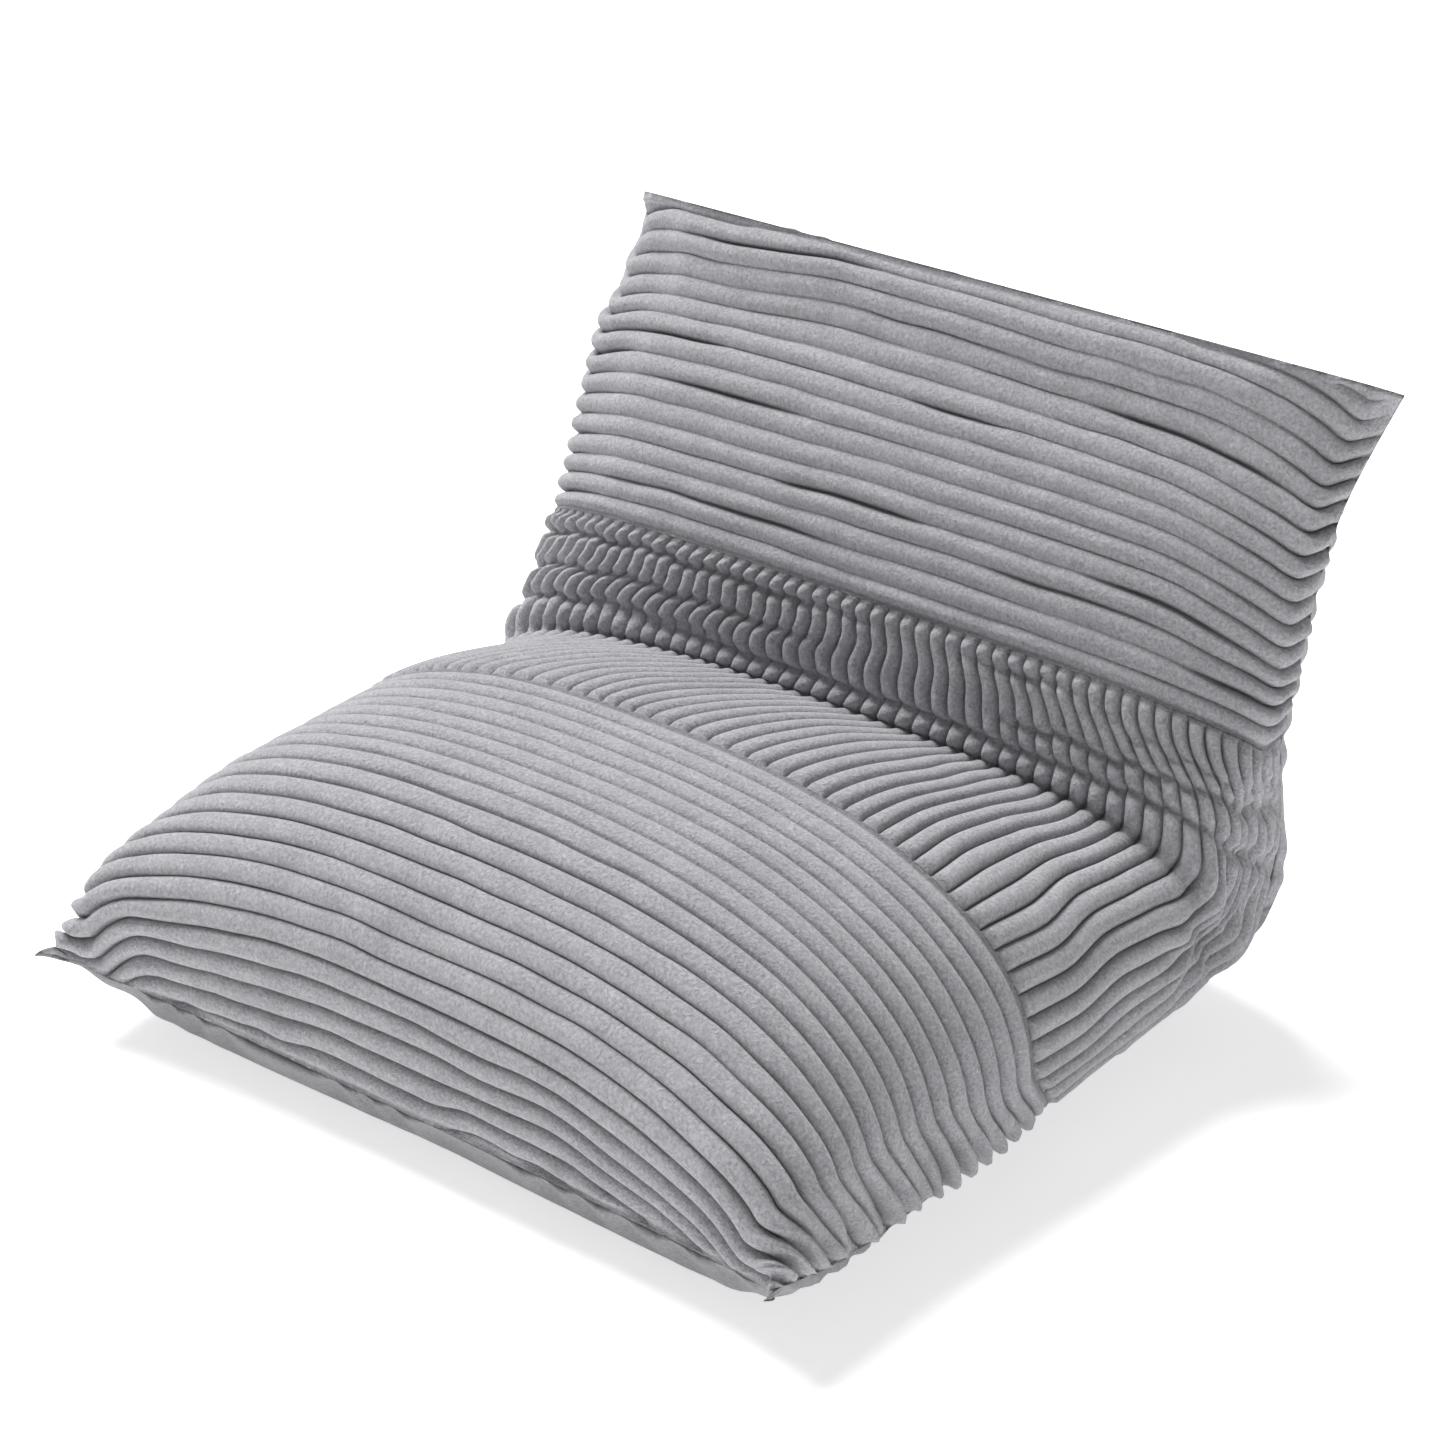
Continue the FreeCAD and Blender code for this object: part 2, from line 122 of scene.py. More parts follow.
def bagGrids():
    # two sheets of points, [row][column], that share their side columns and their end rows
    fy, fz = acrossRows(front[:, 0]), acrossRows(front[:, 1])
    ey, ez = acrossRows(edge[:, 0]), acrossRows(edge[:, 1])
    ry, rz = acrossRows(rear[:, 0]), acrossRows(rear[:, 1])
    reach, quick = bagForm["topBlunt"]
    toTop = np.clip((rowWay[-1] - rowWay) / reach, 1e-3, 1)
    fuller = toTop ** -quick
    middleY, middleZ = (fy + ry) / 2, (fz + rz) / 2
    fy, fz = middleY + (fy - middleY) * fuller, middleZ + (fz - middleZ) * fuller
    ry, rz = middleY + (ry - middleY) * fuller, middleZ + (rz - middleZ) * fuller
    half = acrossRows(bagForm["halfWidth"])
    crown, belly = acrossRows(bagForm["crownPower"]), acrossRows(bagForm["bellyPower"])
    seam = np.radians(acrossRows(bagForm["seamTurn"]))
    frontSheet, rearSheet = [], []
    for i in range(bagForm["rows"]):
        quarter = math.pi / 2
        edgePoint = (ey[i], ez[i], half[i])
        crownTurns = np.linspace(0, quarter, bagForm["arcPoints"])
        crownArc = sectionHalf(crownTurns, fy[i], fz[i], *edgePoint, crown[i])
        tuck = np.linspace(quarter, seam[i], bagForm["tuckPoints"])[1:]
        tuckArc = sectionHalf(tuck, ry[i], rz[i], *edgePoint, belly[i])
        bellyTurns = np.linspace(seam[i], math.pi, bagForm["arcPoints"])
        bellyArc = sectionHalf(bellyTurns, ry[i], rz[i], *edgePoint, belly[i])
        right = np.vstack([crownArc, tuckArc]) if len(tuckArc) and seam[i] > quarter + 1e-4 else crownArc
        bellyArc = bellyArc[::-1]
        mirror = np.array([-1, 1, 1])
        whole = np.vstack([(right * mirror)[::-1], right[1:]])
        under = np.vstack([(bellyArc * mirror)[::-1], bellyArc[1:]])
        frontSheet.append(evenly(whole, bagForm["columns"]))
        rearSheet.append(evenly(under, bagForm["columns"]))
    frontSheet, rearSheet = np.array(frontSheet), np.array(rearSheet)
    for sheet in (frontSheet, rearSheet):
        sheet[..., 1] -= bagForm["depth"] / 2
    return frontSheet, rearSheet


# noise that is the same on every run
def hashed(i, j, seed=0):
    v = np.sin(i * 127.1 + j * 311.7 + seed * 74.7) * 43758.5453
    return v - np.floor(v)


def softNoise(x, y, seed=0):
    # smooth value noise from -1 to 1, one bump per unit
    xi, yi = np.floor(x), np.floor(y)
    u, v = x - xi, y - yi
    u, v = u * u * (3 - 2 * u), v * v * (3 - 2 * v)
    low = hashed(xi, yi, seed) * (1 - u) + hashed(xi + 1, yi, seed) * u
    high = hashed(xi, yi + 1, seed) * (1 - u) + hashed(xi + 1, yi + 1, seed) * u
    return (low * (1 - v) + high * v) * 2 - 1


def bump(x, middle, width):
    return np.exp(-((x - middle) / width) ** 2)


def ramp(x, low, high):
    t = np.clip((x - low) / (high - low), 0, 1)
    return t * t * (3 - 2 * t)


# closed shells from sheets of points
def gridFaces(rows, columns):
    index = np.arange(rows * columns).reshape(rows, columns)
    return np.stack([index[:-1, :-1], index[:-1, 1:], index[1:, 1:], index[1:, :-1]], -1).reshape(-1, 4)


def makeShell(name, outer, inner, material, grooveShade, flip=False):
    # an outer and an inner skin that meet all round their edges
    faces = gridFaces(*outer.shape[:2])
    if flip:
        faces = faces[:, ::-1]
    count = outer.shape[0] * outer.shape[1]
    points = np.vstack([outer.reshape(-1, 3), inner.reshape(-1, 3)])
    mesh = bpy.data.meshes.new(name)
    mesh.from_pydata(points.tolist(), [], np.vstack([faces, faces[:, ::-1] + count]).tolist())
    # this attribute carries painted shade, strongest in grooves, folds and along seams
    layer = mesh.attributes.new("grooveShade", "FLOAT", "POINT")
    values = np.zeros(len(points), np.float32)
    values[:count] = np.asarray(grooveShade).reshape(-1)
    layer.data.foreach_set("value", values)
    piece = bpy.data.objects.new(name, mesh)
    bpy.context.scene.collection.objects.link(piece)
    mesh.materials.append(material)
    mergeClose(piece)
    mesh.polygons.foreach_set("use_smooth", np.ones(len(mesh.polygons), bool))
    return piece


def mergeClose(piece, distance=0.00002):
    bm = bmesh.new()
    bm.from_mesh(piece.data)
    bmesh.ops.remove_doubles(bm, verts=bm.verts, dist=distance)
    bmesh.ops.dissolve_degenerate(bm, edges=bm.edges, dist=distance)
    bm.to_mesh(piece.data)
    bm.free()


def applyModifier(piece, name):
    bpy.ops.object.select_all(action="DESELECT")
    bpy.context.view_layer.objects.active = piece
    piece.select_set(True)
    bpy.ops.object.modifier_apply(modifier=name)
    piece.select_set(False)


# swell the bag with a short cloth simulation
swelling = {
    "pressure": 4.0,
    "frames": 20,
    "cap": 0.011,            # furthest the cloth may move
    "slack": 0.035,          # extra cloth where panels are gathered into seams
    "start": 0.004,
    "ironing": 6,
    "quality": 5,
    "mass": 0.3,
    "tension": 12,
    "compression": 6,
    "bending": 0.35,
    "endRows": 5,            # rows held back from each end seam
}


def swell(frontSheet, rearSheet):
    rows, columns = frontSheet.shape[:2]
    frontIndex = np.arange(rows * columns).reshape(rows, columns)
    rearIndex = frontIndex + rows * columns
    rearIndex[:, 0], rearIndex[:, -1] = frontIndex[:, 0], frontIndex[:, -1]
    rearIndex[0], rearIndex[-1] = frontIndex[0], frontIndex[-1]
    together = np.vstack([frontSheet.reshape(-1, 3), rearSheet.reshape(-1, 3)])
    centre = (frontSheet + rearSheet) / 2
    inward = np.vstack([(centre - frontSheet).reshape(-1, 3), (centre - rearSheet).reshape(-1, 3)])
    size = np.linalg.norm(inward, axis=1, keepdims=True) + 1e-9
    start = together + inward / size * np.minimum(size * 0.3, swelling["start"])

    def quads(index, flip):
        f = np.stack([index[:-1, :-1], index[:-1, 1:], index[1:, 1:], index[1:, :-1]], -1).reshape(-1, 4)
        return f[:, ::-1] if flip else f
    faces = np.vstack([quads(frontIndex, False), quads(rearIndex, True)])
    used, renumber = np.unique(faces, return_inverse=True)
    mesh = bpy.data.meshes.new("swellingBag")
    mesh.from_pydata(start[used].tolist(), [], renumber.reshape(faces.shape).tolist())
    bag = bpy.data.objects.new("swellingBag", mesh)
    bpy.context.scene.collection.objects.link(bag)
    # extra cloth where panels are gathered into seams
    group = bag.vertex_groups.new(name="gather")
    rowShare = np.abs(np.linspace(-1, 1, rows))[:, None] * np.ones((1, columns))
    columnShare = np.abs(np.linspace(-1, 1, columns))[None, :] * np.ones((rows, 1))
    near = np.clip(np.maximum(ramp(rowShare, 0.75, 1.0), ramp(columnShare, 0.6, 1.0)) + 0.15, 0, 1)
    weights = np.concatenate([near.reshape(-1), near.reshape(-1)])[used]
    for level in range(1, 11):
        chosen = np.nonzero(np.round(weights * 10).astype(int) == level)[0]
        group.add(chosen.tolist(), level / 10, "REPLACE")
    cloth = bag.modifiers.new("cloth", "CLOTH")
    cloth.settings.quality = swelling["quality"]
    cloth.settings.mass = swelling["mass"]
    cloth.settings.tension_stiffness = swelling["tension"]
    cloth.settings.compression_stiffness = swelling["compression"]
    cloth.settings.bending_stiffness = swelling["bending"]
    cloth.settings.use_pressure = True
    cloth.settings.uniform_pressure_force = swelling["pressure"]
    cloth.settings.effector_weights.gravity = 0
    cloth.settings.vertex_group_shrink = "gather"
    cloth.settings.shrink_min = 0
    cloth.settings.shrink_max = -swelling["slack"]
    cloth.collision_settings.use_collision = False
    scene = bpy.context.scene
    scene.frame_start, scene.frame_end = 1, swelling["frames"]
    for number in range(1, swelling["frames"] + 1):
        scene.frame_set(number)
    evaluated = bag.evaluated_get(bpy.context.evaluated_depsgraph_get())
    moved = np.zeros(len(used) * 3)
    evaluated.data.vertices.foreach_get("co", moved)
    moved = moved.reshape(-1, 3)
    scene.frame_set(1)
    bpy.data.objects.remove(bag)
    change = moved - together[used]
    reach = np.linalg.norm(change, axis=1, keepdims=True) + 1e-9
    change *= np.minimum(1, swelling["cap"] / reach)
    whole = np.zeros_like(together)
    whole[used] = change
    # ironed a little, and held at the two end seams
    fromEnd = np.minimum(np.arange(rows), np.arange(rows)[::-1])
    endHold = ramp(fromEnd, 0, swelling["endRows"])[:, None, None]
    moved = []
    for index in (frontIndex, rearIndex):
        grid = whole[index]
        for turn in range(swelling["ironing"]):
            grid[1:-1] = (grid[:-2] + 2 * grid[1:-1] + grid[2:]) / 4
            grid[:, 1:-1] = (grid[:, :-2] + 2 * grid[:, 1:-1] + grid[:, 2:]) / 4
        moved.append(together[index] + grid * endHold)
    return moved


frontRest, rearRest = bagGrids()
frontSheet, rearSheet = swell(frontRest, rearRest)
# the heel keeps its straight line for the zip, and nothing goes into the floor
heelHold = bump(rearRest[..., 2], 0.110, 0.055) * ramp(rearRest[..., 1], 0.20, 0.30)
heelHold = np.clip(heelHold * 1.4, 0, 1)[..., None]
rearSheet = rearSheet * (1 - heelHold) + rearRest * heelHold
rearSheet[:, 0], rearSheet[:, -1] = frontSheet[:, 0], frontSheet[:, -1]
rearSheet[0], rearSheet[-1] = frontSheet[0], frontSheet[-1]
rearSheet[..., 2] = np.maximum(rearSheet[..., 2], 0.0)
frontSheet[..., 2] = np.maximum(frontSheet[..., 2], 0.004)


ears = {"rows": (4, 10), "share": (0.70, 0.90), "turns": 14}


def softenEars(sheet):
    # soft, even cloth in the four ears
    rows, columns = sheet.shape[:2]
    fromEnd = np.minimum(np.arange(rows), np.arange(rows)[::-1])
    share = np.abs(np.linspace(-1, 1, columns))
    amount = np.outer(1 - ramp(fromEnd, *ears["rows"]), ramp(share, *ears["share"]))[1:-1, :, None]
    for turn in range(ears["turns"]):
        along = (sheet[:-2] + sheet[2:]) / 2 - sheet[1:-1]
        inner = sheet[1:-1]
        across = (inner[:, :-2] + inner[:, 2:]) / 2 - inner[:, 1:-1]
        sheet[1:-1, 1:-1] += (along[:, 1:-1] * 0.5 + across * 0.5) * amount[:, 1:-1]
        sheet[1:-1, [0, -1]] += along[:, [0, -1]] * 0.5 * amount[:, [0, -1]]


softenEars(frontSheet)
softenEars(rearSheet)
rearSheet[:, 0], rearSheet[:, -1] = frontSheet[:, 0], frontSheet[:, -1]
print("bag form ready")


# reading the sheets at any place
def sampleSheet(sheet, rowAt, columnAt):
    # smooth reading between the points of a sheet
    def weights(t):
        return [(-t + 2 * t**2 - t**3) / 2, (2 - 5 * t**2 + 3 * t**3) / 2,
                (t + 4 * t**2 - 3 * t**3) / 2, (t**3 - t**2) / 2]
    rows, columns = sheet.shape[:2]
    padded = np.empty((rows + 2, columns + 2, sheet.shape[2]))
    padded[1:-1, 1:-1] = sheet
    padded[0, 1:-1], padded[-1, 1:-1] = 2 * sheet[0] - sheet[1], 2 * sheet[-1] - sheet[-2]
    padded[:, 0], padded[:, -1] = 2 * padded[:, 1] - padded[:, 2], 2 * padded[:, -2] - padded[:, -3]
    rowAt, columnAt = np.clip(rowAt, 0, rows - 1), np.clip(columnAt, 0, columns - 1)
    r = np.minimum(np.floor(rowAt).astype(int), rows - 2)
    c = np.minimum(np.floor(columnAt).astype(int), columns - 2)
    wr, wc = weights(rowAt - r), weights(columnAt - c)
    total = 0
    for a in range(4):
        for b in range(4):
            total = total + padded[r + a, c + b] * (wr[a] * wc[b])[..., None]
    return total


def normalsOf(points, flip=False):
    along = np.gradient(points, axis=0)
    across = np.gradient(points, axis=1)
    n = np.cross(across, along)
    n /= np.linalg.norm(n, axis=-1, keepdims=True) + 1e-12
    return -n if flip else n


def smoothNormals(sheet, flip=False):
    n = normalsOf(sheet, flip)
    for turn in range(3):
        n[1:-1] = (n[:-2] + 2 * n[1:-1] + n[2:]) / 4
        n[:, 1:-1] = (n[:, :-2] + 2 * n[:, 1:-1] + n[:, 2:]) / 4
    return n


def outwardAt(normals, rowAt, columnAt):
    n = sampleSheet(normals, rowAt, columnAt)
    return n / (np.linalg.norm(n, axis=-1, keepdims=True) + 1e-12)


frontNormals, rearNormals = smoothNormals(frontSheet), smoothNormals(rearSheet, True)
middleColumn = (bagForm["columns"] - 1) / 2
frontWay = cumulative(frontSheet[:, int(middleColumn)])
knotRow = np.interp(knotWay, rowWay, np.arange(bagForm["rows"]))


def wayAtKnot(way, knot):
    return float(np.interp(knotRow[knot], np.arange(bagForm["rows"]), way))


def rowAtWay(way, distance):
    return np.interp(distance, way, np.arange(bagForm["rows"]))


seatSeamWay = wayAtKnot(frontWay, seatSeamKnot)
creaseWay = wayAtKnot(frontWay, creaseKnot)
backSeamWay = wayAtKnot(frontWay, backSeamKnot)
topWay = float(frontWay[-1])
seamRow = int(round(knotRow[seatSeamKnot]))
print("ways", round(seatSeamWay, 3), round(creaseWay, 3), round(backSeamWay, 3), round(topWay, 3),
      "across", round(float(cumulative(frontSheet[seamRow])[-1]), 3))

plush = {
    "wall": 0.0022,          # least thickness of the pile and its backing
    "seamDip": 0.0024,
    "innerGap": 0.0020,      # further in, under each groove
    "cornerWall": 0.25,      # share of the wall that is left in the ears
    "floorClear": 0.0004,
    "ribSteps": [0.0, 0.05, 0.14, 0.27, 0.42, 0.58, 0.73, 0.86, 0.95],
}


def ribShape(p, flat=2.6, round=0.62):
    # a full, round rib with a tight groove on each side
    return (1 - np.abs(2 * p - 1) ** flat) ** round


def ribRows(count):
    steps = np.array(plush["ribSteps"])
    whole = np.arange(count)[:, None] + steps[None, :]
    return np.append(whole.reshape(-1), count)


def seamed(lift, gaps, near=0.009):
    # relief runs out at the seams, and the cloth dips beside each stitched line
    for gap in gaps:
        lift = lift * ramp(gap, 0, near) - plush["seamDip"] * bump(gap, 0.0040, 0.0028)
    return lift


def cornerHold(rowAt, share):
    # the tips of the four ears keep their plain shape, because every crease runs into them
    fromEnd = np.minimum(rowAt, bagForm["rows"] - 1 - rowAt)
    return 1 - (1 - ramp(fromEnd, 1, 6)) * ramp(np.abs(share), 0.90, 0.965)


def columnsFor(share):
    return (share + 1) / 2 * (bagForm["columns"] - 1)


def columnRuns(sheet, knot, endRow, columns):
    # how far each column runs from a seam, at many rows on its way to the end
    rows = np.linspace(knotRow[knot], endRow, 260)
    grid = sampleSheet(sheet, rows[:, None] + columns[None, :] * 0, columns[None, :] + rows[:, None] * 0)
    steps = np.linalg.norm(np.diff(grid, axis=0), axis=-1)
    return rows, np.vstack([np.zeros((1, len(columns))), np.cumsum(steps, axis=0)])


def rowsAtDistance(rows, runs, distance):
    # rows that lie these distances along each column, and what is left to the end
    rowAt = np.empty_like(distance)
    for j in range(distance.shape[1]):
        rowAt[:, j] = np.interp(distance[:, j], runs[:, j], rows)
    return rowAt, np.clip(runs[-1][None, :] - distance, 0, None)


def keepOffFloor(outer, inner, body):
    outer[..., 2] = np.maximum(outer[..., 2], plush["floorClear"])
    inner[..., 2] = np.maximum(inner[..., 2], plush["floorClear"] + plush["wall"] * body)


def plushPanel(name, rowAt, columnAt, lift, gaps, grooveShade, finish, backwards=False):
    if backwards:
        rowAt, columnAt, lift, grooveShade = rowAt[::-1], columnAt[::-1], lift[::-1], grooveShade[::-1]
        gaps = [gap[::-1] for gap in gaps]
    base = sampleSheet(frontSheet, rowAt, columnAt)
    normals = outwardAt(frontNormals, rowAt, columnAt)
    thin = plush["cornerWall"]
    body = thin + (1 - thin) * cornerHold(rowAt, columnAt / middleColumn - 1)
    for gap in gaps:
        body = body * ramp(gap, 0, 0.010)
    outer = base + normals * lift[..., None]
    inner = base + normals * (np.minimum(lift, 0) - (plush["wall"] + plush["innerGap"]) * body)[..., None]
    keepOffFloor(outer, inner, body)
    piece = makeShell(name, outer, inner, ribbedPlush, grooveShade)
    replaced, fill = finish
    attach(piece, "bag")
    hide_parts(replaced)
    print(piece.name, "made,", len(piece.data.polygons), "faces")
    return piece


# materials
def newMaterial(name):
    material = bpy.data.materials.new(name)
    material.use_nodes = True
    tree = material.node_tree
    return material, tree, tree.nodes["Principled BSDF"]


def addNode(tree, kind, links=None, values=None, **settings):
    node = tree.nodes.new(kind)
    for key, value in settings.items():
        setattr(node, key, value)
    for key, value in (values or {}).items():
        node.inputs[key].default_value = value
    for key, source in (links or {}).items():
        tree.links.new(source, node.inputs[key])
    return node


def colourSteps(tree, factor, steps):
    node = addNode(tree, "ShaderNodeValToRGB", {"Fac": factor})
    ramps = node.color_ramp.elements
    while len(ramps) < len(steps):
        ramps.new(0.5)
    for element, (place, colour) in zip(ramps, steps):
        element.position, element.color = place, (*colour, 1)
    return node.outputs["Color"]


plushFinish = {
    "pile": (0.415, 0.410, 0.436),
    # deep is the painted shade colour of grooves, seams and the crease
    "deep": (0.170, 0.168, 0.182),
    "worn": (0.540, 0.535, 0.562),
    "clumps": 330,       # tufts per metre
    "fibres": 1100,
    "clumpDepth": 0.0022,
    "fibreDepth": 0.0009,
    "sheen": 0.30,
}


def plushMaterial(name, shade=1.0, clumpDepth=plushFinish["clumpDepth"]):
    material, tree, shader = newMaterial(name)
    place = addNode(tree, "ShaderNodeTexCoord").outputs["Object"]
    clumps = addNode(tree, "ShaderNodeTexNoise", {"Vector": place},
                     {"Scale": plushFinish["clumps"], "Detail": 3.0, "Roughness": 0.6, "Distortion": 0.5})
    fibres = addNode(tree, "ShaderNodeTexNoise", {"Vector": place},
                     {"Scale": plushFinish["fibres"], "Detail": 2.0, "Roughness": 0.7})
    patches = addNode(tree, "ShaderNodeTexNoise", {"Vector": place}, {"Scale": 26.0, "Detail": 2.0})
    grooveShade = addNode(tree, "ShaderNodeAttribute", attribute_name="grooveShade").outputs["Fac"]
    deep = tuple(c * shade for c in plushFinish["deep"])
    pile = tuple(c * shade for c in plushFinish["pile"])
    worn = tuple(c * shade for c in plushFinish["worn"])
    tufts = colourSteps(tree, clumps.outputs["Fac"],
                        [(0.30, tuple(c * 0.76 for c in pile)), (0.48, pile), (0.68, worn)])
    brushed = colourSteps(tree, patches.outputs["Fac"],
                          [(0.3, (0.93, 0.93, 0.935)), (0.7, (1.04, 1.04, 1.04))])
    lively = addNode(tree, "ShaderNodeMix", values={0: 1.0}, data_type="RGBA", blend_type="MULTIPLY")
    tree.links.new(tufts, lively.inputs[6])
    tree.links.new(brushed, lively.inputs[7])
    # painted shade: the pile colour is mixed towards the dark deep colour by the groove shade attribute
    grooveShadeMix = addNode(tree, "ShaderNodeMix", data_type="RGBA", blend_type="MIX")
    tree.links.new(grooveShade, grooveShadeMix.inputs[0])
    tree.links.new(lively.outputs[2], grooveShadeMix.inputs[6])
    grooveShadeMix.inputs[7].default_value = (*deep, 1)
    tree.links.new(grooveShadeMix.outputs[2], shader.inputs["Base Color"])
    coarse = addNode(tree, "ShaderNodeBump", {"Height": clumps.outputs["Fac"]},
                     {"Strength": 1.0, "Distance": clumpDepth})
    fine = addNode(tree, "ShaderNodeBump",
                   {"Height": fibres.outputs["Fac"], "Normal": coarse.outputs["Normal"]},
                   {"Strength": 1.0, "Distance": plushFinish["fibreDepth"]})
    tree.links.new(fine.outputs["Normal"], shader.inputs["Normal"])
    shader.inputs["Roughness"].default_value = 0.95
    shader.inputs["Specular IOR Level"].default_value = 0.15
    shader.inputs["Sheen Weight"].default_value = plushFinish["sheen"]
    shader.inputs["Sheen Roughness"].default_value = 0.45
    return material


def wovenMaterial(name, colour, pitch, depth, roughness=0.8, sheen=0.1):
    material, tree, shader = newMaterial(name)
    place = addNode(tree, "ShaderNodeTexCoord").outputs["Object"]
    parts = addNode(tree, "ShaderNodeSeparateXYZ", {"Vector": place})
    waves = []
    for axis in ("X", "Z"):
        turned = addNode(tree, "ShaderNodeMath", {0: parts.outputs[axis]}, {1: math.tau / pitch},
                         operation="MULTIPLY")
        waves.append(addNode(tree, "ShaderNodeMath", {0: turned.outputs[0]}, operation="SINE").outputs[0])
    height = addNode(tree, "ShaderNodeMath", {0: waves[0], 1: waves[1]}, operation="MULTIPLY").outputs[0]
    half = addNode(tree, "ShaderNodeMath", {0: height}, {1: 0.5, 2: 0.5}, operation="MULTIPLY_ADD").outputs[0]
    # painted shade in the hollows of the weave and painted highlight on its raised threads, following the
    # bump height
    low, high = tuple(c * 0.72 for c in colour), tuple(min(1, c * 1.12) for c in colour)
    tint = colourSteps(tree, half, [(0.1, low), (0.9, high)])
    speck = addNode(tree, "ShaderNodeTexNoise", {"Vector": place}, {"Scale": 220.0, "Detail": 3.0})
    mottle = colourSteps(tree, speck.outputs["Fac"], [(0.3, (0.88, 0.88, 0.88)), (0.7, (1.0, 1.0, 1.0))])
    both = addNode(tree, "ShaderNodeMix", values={0: 1.0}, data_type="RGBA", blend_type="MULTIPLY")
    tree.links.new(tint, both.inputs[6])
    tree.links.new(mottle, both.inputs[7])
    tree.links.new(both.outputs[2], shader.inputs["Base Color"])
    bumped = addNode(tree, "ShaderNodeBump", {"Height": half}, {"Strength": 0.8, "Distance": depth})
    tree.links.new(bumped.outputs["Normal"], shader.inputs["Normal"])
    shader.inputs["Roughness"].default_value = roughness
    shader.inputs["Sheen Weight"].default_value = sheen
    return material


def metalMaterial(name, colour):
    material, tree, shader = newMaterial(name)
    place = addNode(tree, "ShaderNodeTexCoord").outputs["Object"]
    stretched = addNode(tree, "ShaderNodeMapping", {"Vector": place})
    stretched.inputs["Scale"].default_value = (300, 4000, 4000)
    grain = addNode(tree, "ShaderNodeTexNoise", {"Vector": stretched.outputs["Vector"]},
                    {"Scale": 1.0, "Detail": 3.0})
    smudges = addNode(tree, "ShaderNodeTexNoise", {"Vector": place}, {"Scale": 420.0, "Detail": 2.0})
    tint = colourSteps(tree, smudges.outputs["Fac"], [(0.3, tuple(c * 0.85 for c in colour)), (0.7, colour)])
    tree.links.new(tint, shader.inputs["Base Color"])
    gloss = addNode(tree, "ShaderNodeMapRange", {"Value": grain.outputs["Fac"]},
                    {"To Min": 0.24, "To Max": 0.42})
    tree.links.new(gloss.outputs["Result"], shader.inputs["Roughness"])
    bumped = addNode(tree, "ShaderNodeBump", {"Height": grain.outputs["Fac"]},
                     {"Strength": 0.3, "Distance": 0.00005})
    tree.links.new(bumped.outputs["Normal"], shader.inputs["Normal"])
    shader.inputs["Metallic"].default_value = 1.0
    return material


def foamMaterial(name):
    material, tree, shader = newMaterial(name)
    place = addNode(tree, "ShaderNodeTexCoord").outputs["Object"]
    crumbs = addNode(tree, "ShaderNodeTexVoronoi", {"Vector": place}, {"Scale": 55.0})
    cells = addNode(tree, "ShaderNodeTexNoise", {"Vector": place}, {"Scale": 700.0, "Detail": 3.0})
    tint = colourSteps(tree, crumbs.outputs["Color"], [(0.0, (0.70, 0.62, 0.40)), (0.5, (0.78, 0.74, 0.62)),
                                                       (1.0, (0.62, 0.68, 0.74))])
    tree.links.new(tint, shader.inputs["Base Color"])
    lumps = addNode(tree, "ShaderNodeBump", {"Height": crumbs.outputs["Distance"]},
                    {"Strength": 0.7, "Distance": 0.004})
    pores = addNode(tree, "ShaderNodeBump",
                    {"Height": cells.outputs["Fac"], "Normal": lumps.outputs["Normal"]},
                    {"Strength": 0.6, "Distance": 0.0006})
    tree.links.new(pores.outputs["Normal"], shader.inputs["Normal"])
    shader.inputs["Roughness"].default_value = 0.95
    return material


ribbedPlush = plushMaterial("ribbedPlush")
smoothPlush = plushMaterial("smoothPlush", shade=0.97, clumpDepth=0.0008)
# the base panel is the same plush darkened by painted shade, as it lies in shadow under the front
underPlushShaded = plushMaterial("underPlushShaded", shade=0.66, clumpDepth=0.0008)
linerCloth = wovenMaterial("linerCloth", (0.74, 0.74, 0.76), 0.0016, 0.0002)
tapeWeave = wovenMaterial("tapeWeave", (0.36, 0.36, 0.38), 0.0012, 0.00015)
coilNylon = wovenMaterial("coilNylon", (0.42, 0.42, 0.44), 0.0030, 0.00005, roughness=0.42, sheen=0.0)
zipMetal = metalMaterial("zipMetal", (0.44, 0.44, 0.46))
shreddedFoam = foamMaterial("shreddedFoam")


# seat panel: ribs across the seat, from the lumbar seam down to the wavy front seam
seatPanel = {
    "pitch": 0.0222,
    "columns": 201,
    "relief": 0.0060,        # crest to groove in the middle of the seat
    "sideRelief": 0.0135,
    "wave": 0.0034,          # how far a rib wanders
    "frontWave": 0.0075,
    "pucker": 0.0062,
    "frontDent": 0.0060,
}


